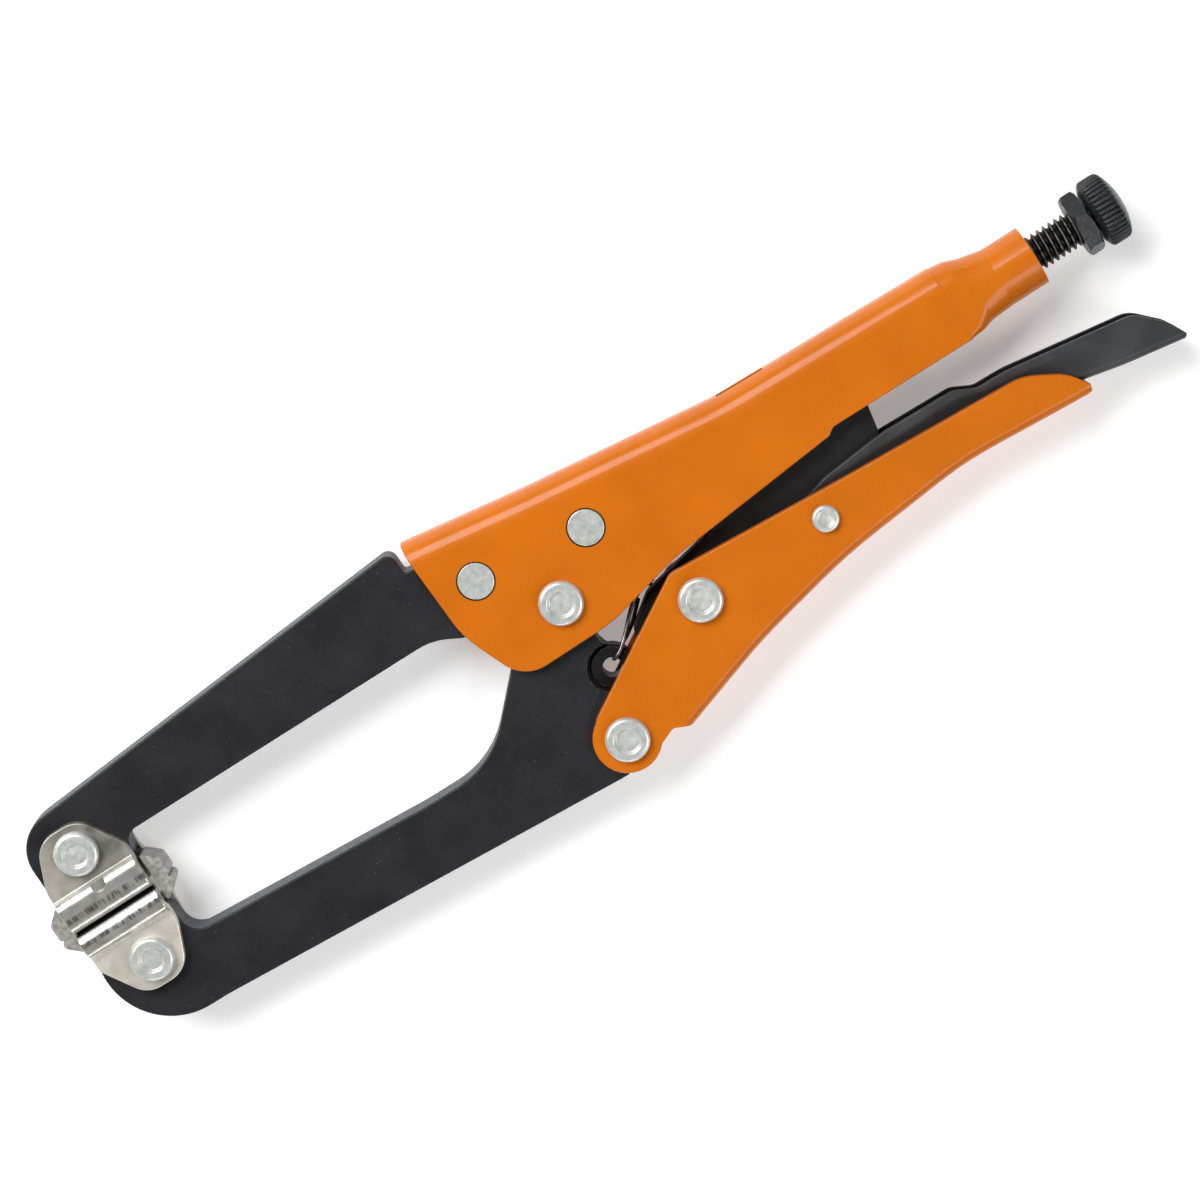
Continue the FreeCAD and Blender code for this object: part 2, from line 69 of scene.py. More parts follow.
MM = 0.001
PIVOT = Vector(next(j for j in frame["joints"] if j["name"] == "jaw_pivot")["pos_m"])


def at(x, y, z=0.0):
    """Point in the frame from millimetres off the main pivot."""
    return PIVOT + Vector((x, y, z)) * MM


# ---- mesh helpers --------------------------------------------------------------------------------
SAME_POINT = 2e-7         # metres; vertices closer than this are one
NO_LENGTH = 1e-7          # metres; edges shorter than this are removed
DOME = 0.5                # height of a wire's domed end, in wire radii


def new_object(name, verts, faces, smooth_angle=40):
    """Mesh object from vertices in metres, smooth except at edges sharper than smooth_angle."""
    mesh = bpy.data.meshes.new(name)
    mesh.from_pydata([tuple(v) for v in verts], [], faces)
    work = bmesh.new()
    work.from_mesh(mesh)
    bmesh.ops.remove_doubles(work, verts=work.verts, dist=SAME_POINT)
    bmesh.ops.dissolve_degenerate(work, edges=work.edges, dist=NO_LENGTH)
    bmesh.ops.recalc_face_normals(work, faces=work.faces)
    work.to_mesh(mesh)
    work.free()
    mesh.polygons.foreach_set("use_smooth", [True] * len(mesh.polygons))
    mesh.set_sharp_from_angle(angle=math.radians(smooth_angle))
    item = bpy.data.objects.new(name, mesh)
    bpy.context.scene.collection.objects.link(item)
    return item


def softened(points, rounds):
    """The path with its corners cut, rounds times, which turns each bend into a smooth curve."""
    for _ in range(rounds):
        smooth = [points[0]]
        for a, b in zip(points, points[1:]):
            smooth.append(a.lerp(b, 0.25))
            smooth.append(a.lerp(b, 0.75))
        smooth.append(points[-1])
        points = smooth
    return points


def wire(points, radius, sides=10):
    """Vertices and faces of a round wire along the points, with closed, slightly domed ends."""
    ahead = (points[1] - points[0]).normalized()
    across = ahead.orthogonal().normalized()
    verts = []
    for i, point in enumerate(points):
        before = points[max(i - 1, 0)]
        after = points[min(i + 1, len(points) - 1)]
        direction = (after - before).normalized()
        across = (across - direction * across.dot(direction)).normalized()
        third = direction.cross(across)
        for k in range(sides):
            turn = 2 * math.pi * k / sides
            verts.append(point + (across * math.cos(turn) + third * math.sin(turn)) * radius)
    faces = []
    for i in range(len(points) - 1):
        for k in range(sides):
            j = (k + 1) % sides
            a, b = i * sides, (i + 1) * sides
            faces.append((a + k, a + j, b + j, b + k))
    last = len(points) - 1
    tips = ((0, points[0] - (points[1] - points[0]).normalized() * radius * DOME),
            (last, points[last] + (points[last] - points[last - 1]).normalized() * radius * DOME))
    for ring, tip in tips:
        verts.append(tip)
        for k in range(sides):
            faces.append((ring * sides + k, ring * sides + (k + 1) % sides, len(verts) - 1))
    return verts, faces


# ---- adjusting screw -----------------------------------------------------------------------------
SCREW_Y = 7.7
PITCH = 25.4 / 18         # 18 threads to the inch
CREST = 3.97
ROOT = 3.1
BREAK = 0.05              # depth of the small break at the crest's and root's corners
TIP_X, END_X = 82.3, 139.7
TIP_RADIUS, TIP_SLOPE = 2.5, 1.1
NECK_X = 135.6            # where the thread gives way to a plain neck under the knob
NECK_RADIUS, NECK_SLOPE = 3.05, 1.4
STEPS = 60                # around one turn


def thread_limit(x):
    """Largest radius at x: the thread dies out over a cone at the tip and a neck at the knob."""
    tip = TIP_RADIUS + TIP_SLOPE * (x - TIP_X)
    neck = NECK_RADIUS + NECK_SLOPE * max(NECK_X - x, 0.0)
    return min(tip, neck)


def adjusting_screw():
    """Screw with a real 60 degree helical thread, swept as one strip of crest, flanks and root."""
    # share of the pitch, and radius there
    profile = ((0.0, ROOT), (0.22, ROOT), (0.27, ROOT + BREAK), (0.53, CREST - BREAK),
               (0.57, CREST), (0.69, CREST), (0.73, CREST - BREAK), (0.98, ROOT + BREAK))
    # the strip starts before the tip and runs past the end, and is flattened onto both
    lead = 1.5
    turns = int((END_X - TIP_X) / PITCH) + 3
    rows = []
    for turn in range(turns):
        for share, radius in profile:
            rows.append(((turn - lead + share) * PITCH + TIP_X, radius))
    verts = []
    for start, radius in rows:
        for k in range(STEPS):
            x = min(max(start + PITCH * k / STEPS, TIP_X), END_X)
            r = min(radius, thread_limit(x))
            angle = 2 * math.pi * k / STEPS
            verts.append(at(x, SCREW_Y + r * math.sin(angle), r * math.cos(angle)))
    faces = []
    per_turn = len(profile)
    for i in range(len(rows) - 1):
        for k in range(STEPS):
            if k < STEPS - 1:
                faces.append((i * STEPS + k, i * STEPS + k + 1,
                              (i + 1) * STEPS + k + 1, (i + 1) * STEPS + k))
            elif i + per_turn + 1 < len(rows):
                # the strip's end meets the same strip one turn further on
                faces.append((i * STEPS + k, (i + per_turn) * STEPS,
                              (i + per_turn + 1) * STEPS, (i + 1) * STEPS + k))
    return new_object("threaded_screw", verts, faces, smooth_angle=35)


screw = adjusting_screw()
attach(screw, "adjusting_screw")
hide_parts("adjusting_screw")


# ---- knob ----------------------------------------------------------------------------------------
KNOB_RIDGES = 42
GROOVE = 0.5              # full depth of the grooves between the ridges
RIDGE_FULLNESS = 0.6      # below 1 the ridges are broad and the grooves narrow


def knob():
    """Turned knob: flat underside, a rim of rounded ridges with narrow grooves, and a low dome."""
    # x, radius and share of the grooves' full depth
    profile = ((136.2, 2.6, 0), (136.2, 5.3, 0), (136.3, 5.8, 0), (136.55, 6.35, 0.2),
               (136.9, 7.0, 0.7), (137.2, 7.4, 1), (137.5, 7.6, 1), (138.8, 7.62, 1),
               (140.2, 7.62, 1), (141.0, 7.55, 1), (141.4, 7.35, 0.9), (141.7, 7.05, 0.5),
               (141.95, 6.65, 0.15), (142.15, 6.2, 0), (142.5, 5.3, 0), (142.85, 4.1, 0),
               (143.1, 2.8, 0), (143.25, 1.4, 0), (143.28, 0.1, 0))
    per_ridge = 8
    around = KNOB_RIDGES * per_ridge
    verts, faces = [], []
    for x, radius, share in profile:
        for k in range(around):
            angle = 2 * math.pi * k / around
            ridge = abs(math.sin(math.pi * k / per_ridge)) ** RIDGE_FULLNESS
            r = radius - GROOVE * share * (1 - ridge)
            verts.append(at(x, SCREW_Y + r * math.sin(angle), r * math.cos(angle)))
    for i in range(len(profile) - 1):
        for k in range(around):
            j = (k + 1) % around
            a, b = i * around, (i + 1) * around
            faces.append((a + k, a + j, b + j, b + k))
    # flat caps close both ends
    for row in (0, len(profile) - 1):
        faces.append(tuple(row * around + k for k in range(around)))
    return new_object("ridged_knob", verts, faces, smooth_angle=50)


knob_piece = knob()
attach(knob_piece, "adjusting_screw")
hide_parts("thumb_knob")


# ---- return spring -------------------------------------------------------------------------------
WIRE = 0.45               # radius of the wire
COIL = 2.55               # to the middle of the wire
TURN_GAP = 0.03           # between neighbouring turns
COIL_START = (15.5, -5.9)
COIL_END = (43.0, 10.6)


def return_spring():
    """Close-wound tension spring: a ring through the jaw's eye, a hook in the handle's slot."""
    start, end = Vector((*COIL_START, 0)), Vector((*COIL_END, 0))
    axis = (end - start).normalized()
    across = Vector((-axis.y, axis.x, 0))
    length = (end - start).length - 2 * WIRE
    turns = round(length / (2 * WIRE + TURN_GAP))
    coil = []
    per_turn = 20
    for i in range(turns * per_turn + 1):
        angle = 2 * math.pi * i / per_turn
        along = WIRE + length * i / (turns * per_turn)
        coil.append(start + axis * along
                    + (across * math.cos(angle) + Vector((0, 0, 1)) * math.sin(angle)) * COIL)
    side = 3.35           # the ring's legs on the two sides of the jaw plate
    ring = [
        Vector((13.6, -9.2, -1.2)), Vector((8.2, -14.6, -side)), Vector((2.4, -17.1, -side)),
        Vector((2.4, -16.9, side)), Vector((5.4, -15.6, side)), Vector((12.1, -8.8, 1.2)),
        Vector((15.4, -7.6, 0.3)),
    ]
    hook = [Vector((47.0, 14.2, 0)), Vector((51.3, 15.0, 0)), Vector((51.3, 18.4, 0))]
    # the ring runs on into the coil's first turn, and its last turn into the hook
    front = softened(ring + [coil[0].lerp(start, 0.15)], 3)
    rear = softened([coil[-1]] + hook, 3)
    path = front + coil[3:] + rear[1:]
    verts, faces = wire([at(*p) for p in path], WIRE * MM)
    return new_object("coil_spring", verts, faces)


spring = return_spring()
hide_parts("return_spring")


# ---- finishes ------------------------------------------------------------------------------------
CLOSING_Y = -4.55         # where the pads meet
PAD_X = -115.8            # their middle
JAW_RIVETS = ((-12.5, 13.5), (13.0, 10.6))
SPRING_EYE = (1.4, -18.0)  # the moving jaw's hole for the spring


class Finish:
    """A Principled material with short calls for the nodes that drive its colour and surface."""

    def __init__(self, name, **sockets):
        self.material = bpy.data.materials.new(name)
        self.material.use_nodes = True
        self.tree = self.material.node_tree
        self.tree.nodes.clear()
        output = self.tree.nodes.new("ShaderNodeOutputMaterial")
        self.shader = self.tree.nodes.new("ShaderNodeBsdfPrincipled")
        self.tree.links.new(self.shader.outputs[0], output.inputs[0])
        for socket, value in sockets.items():
            self.shader.inputs[socket.replace("_", " ")].default_value = value
        self.place = self.tree.nodes.new("ShaderNodeTexCoord").outputs["Object"]

    def feed(self, socket, value):
        """Links the value if it is a node's output, and sets it if it is a number or a colour."""
        if isinstance(value, bpy.types.NodeSocket):
            self.tree.links.new(value, socket)
        else:
            socket.default_value = value

    def stretched(self, x, y, z, turn=0.0):
        """Place with each axis scaled and turned about Z, for grain that runs one way."""
        node = self.tree.nodes.new("ShaderNodeMapping")
        node.inputs["Scale"].default_value = (x, y, z)
        node.inputs["Rotation"].default_value = (0, 0, turn)
        self.feed(node.inputs["Vector"], self.place)
        return node.outputs["Vector"]

    def noise(self, grain_mm, detail=3.0, rough=0.5, place=None):
        """Noise with grains of about this size in millimetres."""
        node = self.tree.nodes.new("ShaderNodeTexNoise")
        node.inputs["Scale"].default_value = 1.0 / (grain_mm * MM)
        node.inputs["Detail"].default_value = detail
        node.inputs["Roughness"].default_value = rough
        self.feed(node.inputs["Vector"], place or self.place)
        return node.outputs["Fac"]

    def cells(self, size_mm):
        """Distance to the middle of the nearest of many scattered spots."""
        node = self.tree.nodes.new("ShaderNodeTexVoronoi")
        node.feature = "F1"
        node.inputs["Scale"].default_value = 1.0 / (size_mm * MM)
        self.feed(node.inputs["Vector"], self.place)
        return node.outputs["Distance"]

    def ramp(self, value, low, high, start=0.0, end=1.0):
        """Maps low..high of the value to start..end, held beyond."""
        node = self.tree.nodes.new("ShaderNodeMapRange")
        for socket, setting in zip(("From Min", "From Max", "To Min", "To Max"),
                                   (low, high, start, end)):
            node.inputs[socket].default_value = setting
        self.feed(node.inputs["Value"], value)
        return node.outputs["Result"]

    def maths(self, operation, a, b=0.0):
        node = self.tree.nodes.new("ShaderNodeMath")
        node.operation = operation
        self.feed(node.inputs[0], a)
        self.feed(node.inputs[1], b)
        return node.outputs[0]

    def mix(self, share, a, b):
        """Colour a where share is 0 and b where it is 1; both are colours or colour sockets."""
        node = self.tree.nodes.new("ShaderNodeMix")
        node.data_type = "RGBA"
        self.feed(node.inputs["Factor"], share)
        for side, colour in (("A", a), ("B", b)):
            socket = [s for s in node.inputs if s.name == side and s.type == "RGBA"][0]
            self.feed(socket, colour if isinstance(colour, bpy.types.NodeSocket) else (*colour, 1))
        return [s for s in node.outputs if s.type == "RGBA"][0]

    def edges(self, radius_mm):
        """Share from 0 on open faces to 1 at edges and corners, from how the normal turns there."""
        bevel = self.tree.nodes.new("ShaderNodeBevel")
        bevel.samples = 6
        bevel.inputs["Radius"].default_value = radius_mm * MM
        true = self.tree.nodes.new("ShaderNodeNewGeometry").outputs["Normal"]
        dot = self.tree.nodes.new("ShaderNodeVectorMath")
        dot.operation = "DOT_PRODUCT"
        self.feed(dot.inputs[0], bevel.outputs[0])
        self.feed(dot.inputs[1], true)
        return self.ramp(dot.outputs["Value"], 1.0, 0.75)

    def flank(self):
        """Share from 0 on faces that look along the thickness to 1 on the cut sides."""
        split = self.tree.nodes.new("ShaderNodeSeparateXYZ")
        normal = self.tree.nodes.new("ShaderNodeNewGeometry").outputs["True Normal"]
        self.feed(split.inputs[0], normal)
        return self.ramp(self.maths("ABSOLUTE", split.outputs["Z"]), 0.6, 0.35)

    def axis_radius(self):
        """Distance from the screw's axis in millimetres."""
        split = self.tree.nodes.new("ShaderNodeSeparateXYZ")
        self.feed(split.inputs[0], self.place)
        centre = at(0, SCREW_Y)
        y = self.maths("SUBTRACT", split.outputs["Y"], centre.y)
        z = self.maths("SUBTRACT", split.outputs["Z"], centre.z)
        square = self.maths("ADD", self.maths("MULTIPLY", y, y), self.maths("MULTIPLY", z, z))
        return self.maths("DIVIDE", self.maths("POWER", square, 0.5), MM)

    def coordinate(self, axis, origin=0.0):
        """Distance in millimetres along an axis from its value at the main pivot plus origin."""
        split = self.tree.nodes.new("ShaderNodeSeparateXYZ")
        self.feed(split.inputs[0], self.place)
        start = at(origin, origin, origin)["XYZ".index(axis)]
        return self.maths("DIVIDE", self.maths("SUBTRACT", split.outputs[axis], start), MM)

    def away_from(self, x, y):
        """Distance in millimetres from the line along Z through (x, y)."""
        along, across = self.coordinate("X", x), self.coordinate("Y", y)
        square = self.maths("ADD", self.maths("MULTIPLY", along, along),
                            self.maths("MULTIPLY", across, across))
        return self.maths("POWER", square, 0.5)

    def bump(self, height, depth_mm, under=None):
        """Surface normal raised by the height, on top of the bump under it."""
        node = self.tree.nodes.new("ShaderNodeBump")
        node.inputs["Strength"].default_value = 1.0
        node.inputs["Distance"].default_value = depth_mm * MM
        self.feed(node.inputs["Height"], height)
        if under is not None:
            self.feed(node.inputs["Normal"], under)
        return node.outputs["Normal"]

    def finish(self, colour, roughness, normal, metallic=None):
        """Feeds the shader and gives back the finished material."""
        for name, value in (("Base Color", colour), ("Roughness", roughness),
                            ("Normal", normal), ("Metallic", metallic)):
            if value is not None:
                self.feed(self.shader.inputs[name], value)
        return self.material


def handle_paint():
    """Orange powder coat, thin at its edges, with a dark ring at each flush rivet."""
    f = Finish("orange_powder_coat", Coat_Weight=0.42, Coat_Roughness=0.13, Coat_IOR=1.45,
               Specular_IOR_Level=0.12)
    cloud = f.noise(14, 4)
    colour = f.mix(f.ramp(cloud, 0.35, 0.65), (0.54, 0.131, 0.004), (0.60, 0.150, 0.005))
    specks = f.ramp(f.cells(1.7), 0.075, 0.045)
    some = f.ramp(f.noise(5, 2), 0.52, 0.60)
    colour = f.mix(f.maths("MULTIPLY", f.maths("MULTIPLY", specks, some), 0.5),
                   colour, (0.33, 0.085, 0.01))
    colour = f.mix(f.ramp(f.noise(0.45, 3), 0.40, 0.75, 0.0, 0.3), colour, (0.42, 0.10, 0.004))
    edge = f.maths("MULTIPLY", f.edges(0.35), f.ramp(f.noise(2.2, 4), 0.40, 0.66))
    colour = f.mix(f.maths("MULTIPLY", edge, 0.55), colour, (0.36, 0.08, 0.01))
    # dirt in the gap round each flush rivet
    for x, y in JAW_RIVETS:
        gap = f.ramp(f.away_from(x, y), 4.3, 4.1)
        colour = f.mix(f.maths("MULTIPLY", gap, 0.9), colour, (0.02, 0.012, 0.006))
    peel = f.bump(f.noise(0.9, 2), 0.012)
    peel = f.bump(f.noise(9, 2), 0.10, peel)
    return f.finish(colour, f.ramp(f.noise(3, 4), 0.3, 0.7, 0.34, 0.48), peel)


def jaw_steel():
    """Dark phosphated plate, paler on its cut sides, with painted shade round the spring's eye."""
    f = Finish("phosphated_plate", Specular_IOR_Level=0.28)
    cloud = f.noise(11, 5, 0.6)
    face = f.mix(f.ramp(cloud, 0.35, 0.65), (0.010, 0.010, 0.0125), (0.019, 0.019, 0.023))
    dust = f.maths("MULTIPLY", f.ramp(f.cells(1.8), 0.07, 0.04), f.ramp(f.noise(5, 2), 0.46, 0.56))
    face = f.mix(dust, face, (0.12, 0.12, 0.13))
    # painted shade: black over the recess round the spring's eye
    groove_shade = f.maths("MULTIPLY", f.ramp(f.away_from(*SPRING_EYE), 5.7, 5.4), 0.9)
    face = f.mix(groove_shade, face, (0.002, 0.002, 0.002))
    side = f.mix(f.ramp(f.noise(1.2, 4, place=f.stretched(1, 1, 0.4)), 0.3, 0.7),
                 (0.050, 0.053, 0.066), (0.074, 0.078, 0.096))
    colour = f.mix(f.flank(), face, side)
    worn = f.maths("MULTIPLY", f.edges(0.3), f.ramp(f.noise(1.3, 5), 0.42, 0.62))
    colour = f.mix(f.maths("MULTIPLY", worn, 0.55), colour, (0.16, 0.165, 0.185))
    grain = f.bump(f.noise(0.45, 3, 0.6), 0.035)
    return f.finish(colour, f.ramp(f.noise(0.8, 5, 0.6), 0.3, 0.7, 0.42, 0.56), grain)


def black_steel():
    """Black link steel, scored along its length."""
    f = Finish("black_oxide_link", Specular_IOR_Level=0.3)
    colour = f.mix(f.ramp(f.noise(7, 5), 0.35, 0.7), (0.006, 0.006, 0.006), (0.014, 0.014, 0.015))
    worn = f.maths("MULTIPLY", f.edges(0.3), f.ramp(f.noise(1.6, 5), 0.45, 0.62))
    colour = f.mix(f.maths("MULTIPLY", worn, 0.5), colour, (0.09, 0.09, 0.095))
    scores = f.noise(0.5, 3, place=f.stretched(0.12, 1, 1, 0.2))
    return f.finish(colour, f.ramp(f.noise(1.1, 4), 0.3, 0.7, 0.40, 0.58), f.bump(scores, 0.015))


def lever_steel():
    """Blackened sheet, worn at its edges, with painted shade inside the fold and a painted shadow
    beside the handle.
    """
    f = Finish("blackened_lever", Specular_IOR_Level=0.4)
    colour = f.mix(f.ramp(f.noise(9, 5), 0.35, 0.68), (0.024, 0.025, 0.027), (0.043, 0.044, 0.047))
    # unlit black inside the fold and on the hidden half
    inside = f.ramp(f.coordinate("Z"), 2.75, 2.6)
    colour = f.mix(f.maths("MULTIPLY", inside, 0.92), colour, (0.002, 0.002, 0.002))
    # painted shadow of the handle: black beside the handle, below a worn strip that follows the
    # lever's upper edge
    along = f.coordinate("X")
    upper_edge = f.maths("ADD", f.ramp(along, 93, 98, -7.0, -8.6),
                         f.ramp(along, 98, 132, 0.0, -5.0))
    below = f.ramp(f.maths("SUBTRACT", upper_edge, f.coordinate("Y")), 1.3, 2.1)
    handle_shadow = f.maths("MULTIPLY", below, f.ramp(along, 119, 107))
    colour = f.mix(f.maths("MULTIPLY", handle_shadow, 0.9), colour, (0.003, 0.003, 0.003))
    worn = f.maths("MULTIPLY", f.edges(0.3), f.ramp(f.noise(1.5, 5), 0.35, 0.58))
    colour = f.mix(f.maths("MULTIPLY", worn, 0.7), colour, (0.17, 0.175, 0.185))
    dust = f.maths("MULTIPLY", f.ramp(f.cells(1.6), 0.06, 0.03), f.ramp(f.noise(5, 2), 0.5, 0.6))
    colour = f.mix(dust, colour, (0.2, 0.2, 0.21))
    grain = f.bump(f.noise(0.3, 3, 0.6), 0.018)
    rough = f.ramp(f.noise(1.0, 4), 0.3, 0.7, 0.38, 0.54)
    return f.finish(colour, f.maths("ADD", rough, f.maths("MULTIPLY", handle_shadow, 0.25)), grain)


def nickel_pad():
    """Bright nickel: satin flanges, polished shoulders with fine drawing ticks, matt grey wings,
    and painted light and shade.
    """
    f = Finish("worn_nickel")
    # painted shade: the upper pad's flange is darker, most of all at its end towards the handles
    upper = f.ramp(f.coordinate("Y", CLOSING_Y), 2.0, 11.0)
    satin = f.mix(f.ramp(f.noise(4.5, 4), 0.35, 0.66), (0.60, 0.56, 0.48), (0.76, 0.72, 0.64))
    shade = f.mix(f.ramp(f.noise(5, 3), 0.36, 0.62), (0.15, 0.145, 0.13), (0.32, 0.305, 0.27))
    towards = f.ramp(f.coordinate("X", PAD_X), -9.0, 1.0, 0.35, 1.0)
    satin = f.mix(f.maths("MULTIPLY", upper, towards), satin, shade)
    tarnish = f.ramp(f.noise(1.2, 5, 0.6), 0.58, 0.72)
    satin = f.mix(f.maths("MULTIPLY", tarnish, 0.35), satin, (0.30, 0.27, 0.22))
    # the shoulders are the bends that stand out past the flanges
    level = f.maths("ABSOLUTE", f.coordinate("Z"))
    shoulder = f.ramp(level, 6.35, 6.65)
    # distance across from each shoulder's middle line, where a painted dark reflection lies, broken
    # up by the fine drawing ticks
    beyond = f.coordinate("Y", CLOSING_Y)
    is_upper = f.maths("GREATER_THAN", beyond, 0.0)
    middle = f.maths("ADD", 3.1, f.maths("MULTIPLY", is_upper, 0.9))
    across = f.maths("SUBTRACT", f.maths("ABSOLUTE", beyond), middle)
    ticks = f.noise(0.42, 3, 0.6, f.stretched(1, 0.10, 1))
    reflection_and_ticks = f.maths("MULTIPLY", f.ramp(f.maths("ABSOLUTE", f.maths("ADD", across, 0.6)), 0.9, 0.4),
                     f.ramp(ticks, 0.42, 0.54))
    bright = f.mix(f.ramp(f.noise(3, 4), 0.35, 0.65), (0.50, 0.485, 0.445), (0.68, 0.665, 0.62))
    # painted reflection: a dark band of drawing ticks along each shoulder
    bright = f.mix(f.maths("MULTIPLY", reflection_and_ticks, 0.85), bright, (0.10, 0.09, 0.075))
    colour = f.mix(shoulder, satin, bright)
    # painted highlights on the rims, a black line where the pads meet, and the wings on either side
    rim = f.maths("MULTIPLY", f.edges(0.3), f.ramp(level, 5.0, 5.6))
    colour = f.mix(f.maths("MULTIPLY", rim, 0.6), colour, (0.86, 0.84, 0.79))
    meeting = f.ramp(f.maths("ABSOLUTE", beyond), 0.80, 0.45)
    colour = f.mix(f.maths("MULTIPLY", meeting, f.ramp(level, 5.2, 5.6)), colour,
                   (0.012, 0.010, 0.008))
    beside = f.maths("ABSOLUTE", f.coordinate("X", PAD_X))
    wing = f.maths("MULTIPLY", f.ramp(beside, 10.2, 10.6), f.ramp(level, 4.3, 4.1))
    matt = f.mix(f.ramp(f.noise(1.0, 5), 0.35, 0.65), (0.26, 0.25, 0.23), (0.48, 0.465, 0.43))
    colour = f.mix(wing, colour, matt)
    brushed = f.noise(0.35, 4, 0.6, f.stretched(1, 0.14, 0.14))
    rough = f.ramp(f.noise(2.4, 5), 0.3, 0.7, 0.34, 0.46)
    rough = f.maths("SUBTRACT", rough, f.maths("MULTIPLY", shoulder, 0.12))
    rough = f.maths("ADD", rough, f.maths("MULTIPLY", wing, 0.15))
    metal = f.maths("ADD", 0.45, f.maths("MULTIPLY", shoulder, 0.22))
    return f.finish(colour, rough, f.bump(brushed, 0.006), metal)


def zinc_rivet():
    """Zinc plate, mottled, with a few pits and dull corners."""
    f = Finish("zinc_plate", Metallic=0.5)
    colour = f.mix(f.ramp(f.noise(1.8, 5, 0.6), 0.35, 0.65),
                   (0.58, 0.61, 0.585), (0.76, 0.775, 0.73))
    pits = f.maths("MULTIPLY", f.ramp(f.cells(0.55), 0.16, 0.08),
                   f.ramp(f.noise(1.5, 3), 0.5, 0.62))
    colour = f.mix(f.maths("MULTIPLY", pits, 0.7), colour, (0.20, 0.19, 0.17))
    corner = f.maths("MULTIPLY", f.edges(0.45), f.ramp(f.noise(0.9, 4), 0.22, 0.52))
    colour = f.mix(f.maths("MULTIPLY", corner, 0.7), colour, (0.20, 0.205, 0.19))
    mottled = f.noise(0.5, 4, 0.65)
    return f.finish(colour, f.ramp(f.noise(1.1, 4), 0.3, 0.7, 0.28, 0.44), f.bump(mottled, 0.025))


def phosphate_steel():
    """Dark knob and nut with painted shade in the knob's grooves; its ridges and the nut's edges
    are worn, with painted highlights.
    """
    f = Finish("dark_phosphate", Specular_IOR_Level=0.38)
    colour = f.mix(f.ramp(f.noise(1.8, 5, 0.6), 0.32, 0.68),
                   (0.005, 0.0053, 0.006), (0.018, 0.020, 0.025))
    # painted shade only between the ridges: below their tops, along the knob's rim
    groove_shade = f.maths("MULTIPLY", f.ramp(f.axis_radius(), 7.48, 7.28),
                     f.maths("MULTIPLY", f.ramp(f.coordinate("X"), 136.9, 137.2),
                             f.ramp(f.coordinate("X"), 141.5, 141.2)))
    colour = f.mix(f.maths("MULTIPLY", groove_shade, 0.9), colour, (0.004, 0.004, 0.004))
    # lighter on the ridges and the nut's edges: wear, with a painted highlight
    worn = f.maths("MULTIPLY", f.edges(0.35), f.ramp(f.noise(0.6, 4), 0.36, 0.58))
    colour = f.mix(f.maths("MULTIPLY", worn, 0.55), colour, (0.13, 0.135, 0.15))
    grain = f.bump(f.noise(0.55, 4, 0.65, f.stretched(1, 0.6, 0.6)), 0.10)
    return f.finish(colour, f.ramp(f.noise(0.7, 4), 0.3, 0.7, 0.26, 0.46), grain)


def thread_steel():
    """Black thread with painted highlights on its crests."""
    f = Finish("black_thread", Specular_IOR_Level=0.12)
    colour = f.mix(f.ramp(f.noise(1.5, 5), 0.35, 0.68),
                   (0.001, 0.001, 0.001), (0.004, 0.004, 0.0045))
    # painted highlight along the crests, in patches
    crest = f.maths("MULTIPLY", f.ramp(f.axis_radius(), 3.78, 3.93),
                    f.ramp(f.noise(1.1, 5), 0.32, 0.58))
    colour = f.mix(f.maths("MULTIPLY", crest, 0.6), colour, (0.26, 0.25, 0.235))
    return f.finish(colour, f.ramp(f.noise(0.6, 4), 0.3, 0.7, 0.26, 0.42),
                    f.bump(f.noise(0.3, 4, 0.6), 0.01))


def spring_wire():
    """Bare drawn spring steel."""
    f = Finish("spring_wire_steel", Metallic=0.9)
    colour = f.mix(f.ramp(f.noise(1.6, 4), 0.35, 0.65), (0.10, 0.10, 0.105), (0.22, 0.22, 0.225))
    drawn = f.noise(0.2, 3)
    return f.finish(colour, f.ramp(f.noise(0.9, 4), 0.3, 0.7, 0.26, 0.40), f.bump(drawn, 0.006))


FINISHES = {
    "handle_paint": handle_paint(),
    "jaw_steel": jaw_steel(),
    "black_steel": black_steel(),
    "lever_steel": lever_steel(),
    "nickel_pad": nickel_pad(),
    "zinc_rivet": zinc_rivet(),
    "phosphate_steel": phosphate_steel(),
    "thread_steel": thread_steel(),
    "spring_wire": spring_wire(),
}
for subpart in frame["record"]["subparts"]:
    item = frame["nodes"][subpart["node"]]
    item.data.materials.clear()
    item.data.materials.append(FINISHES[subpart["material_slot"]])
screw.data.materials.append(FINISHES["thread_steel"])
knob_piece.data.materials.append(FINISHES["phosphate_steel"])
spring.data.materials.append(FINISHES["spring_wire"])
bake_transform(spring)


# ---- floor, light and camera ---------------------------------------------------------------------
FLOOR_DROP = 0.0002       # metres under the tool's lowest face
SENSOR = 36.0             # camera sensor's width in millimetres
IMAGE_WIDTH = 1200
SCALE = 4.78              # image points to one millimetre of the tool
ROLL = 32.4               # degrees the tool is turned in the image
CAMERA_PLACE = (64.95, 104.95, 720.0)
CAMERA_TARGET = (7.35, -3.65, 8.1)


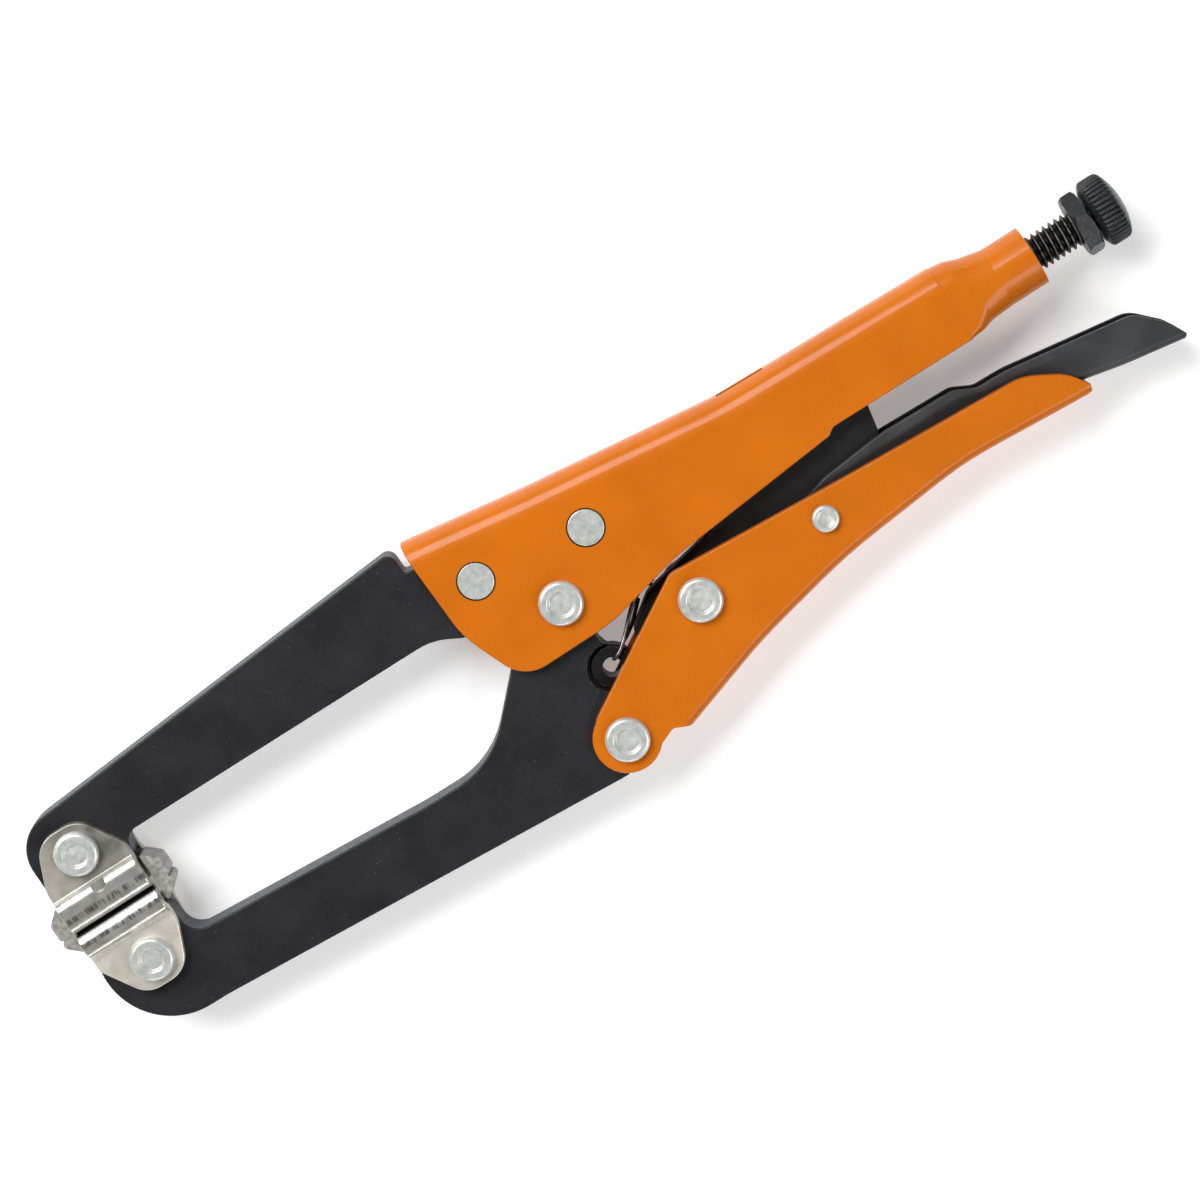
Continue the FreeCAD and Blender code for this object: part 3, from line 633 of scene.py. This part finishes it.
def floor():
    """Seamless pale sheet under the tool."""
    half = 1.6
    cells = 24
    verts, faces = [], []
    for i in range(cells + 1):
        for j in range(cells + 1):
            x, y = (2 * i / cells - 1) * half, (2 * j / cells - 1) * half
            verts.append(Vector((x, y, -FLOOR_DROP)))
    for i in range(cells):
        for j in range(cells):
            a = i * (cells + 1) + j
            faces.append((a, a + cells + 1, a + cells + 2, a + 1))
    item = new_object("floor", verts, faces)
    f = Finish("pale_sheet", Specular_IOR_Level=0.2, Emission_Color=(1, 1, 1, 1),
               Emission_Strength=0.32)
    tone = f.mix(f.ramp(f.noise(300, 2), 0.3, 0.7), (0.86, 0.86, 0.86), (0.88, 0.88, 0.88))
    item.data.materials.append(f.finish(tone, 0.9, f.bump(f.noise(1.0, 3), 0.02)))


def softbox(name, place, size, power):
    """White area light at the place, facing the tool."""
    light = bpy.data.lights.new(name, "AREA")
    light.shape = "RECTANGLE"
    light.size, light.size_y = size
    light.energy = power
    item = bpy.data.objects.new(name, light)
    item.location = place
    item.rotation_mode = "QUATERNION"
    item.rotation_quaternion = (-Vector(place)).to_track_quat("-Z", "Y")
    bpy.context.scene.collection.objects.link(item)


def camera():
    """Camera above the tool, turned so that the screw's axis climbs to the right."""
    place, target = at(*CAMERA_PLACE), at(*CAMERA_TARGET)
    forward = (target - place).normalized()
    right = Vector((1, 0, 0))
    right = (right - forward * right.dot(forward)).normalized()
    up = right.cross(forward)
    roll = math.radians(ROLL)
    right, up = (right * math.cos(roll) - up * math.sin(roll),
                 right * math.sin(roll) + up * math.cos(roll))
    data = bpy.data.cameras.new("camera")
    data.sensor_width = SENSOR
    data.lens = SENSOR * SCALE * (target - place).length / MM / IMAGE_WIDTH
    data.clip_start, data.clip_end = 0.05, 20.0
    item = bpy.data.objects.new("camera", data)
    item.matrix_world = Matrix((
        (right.x, up.x, -forward.x, place.x),
        (right.y, up.y, -forward.y, place.y),
        (right.z, up.z, -forward.z, place.z),
        (0, 0, 0, 1)))
    bpy.context.scene.collection.objects.link(item)
    bpy.context.scene.camera = item


def world():
    """Even white studio, a little dimmer straight overhead."""
    scene_world = bpy.data.worlds.new("studio")
    scene_world.use_nodes = True
    tree = scene_world.node_tree
    background = tree.nodes["Background"]
    split = tree.nodes.new("ShaderNodeSeparateXYZ")
    fall = tree.nodes.new("ShaderNodeMapRange")
    tree.links.new(tree.nodes.new("ShaderNodeTexCoord").outputs["Generated"], split.inputs[0])
    tree.links.new(split.outputs["Z"], fall.inputs["Value"])
    for socket, value in (("From Min", 0.55), ("From Max", 1.0),
                          ("To Min", 0.85), ("To Max", 0.35)):
        fall.inputs[socket].default_value = value
    tree.links.new(fall.outputs["Result"], background.inputs["Strength"])
    bpy.context.scene.world = scene_world


floor()
softbox("key", (-0.25, 0.75, 0.75), (0.9, 0.6), 16.0)
softbox("fill", (0.45, -0.65, 0.8), (0.7, 0.7), 6.5)
softbox("strip", (-0.5, -0.85, 0.5), (0.8, 0.25), 2.5)
camera()
world()
bpy.context.scene.view_settings.view_transform = "Standard"
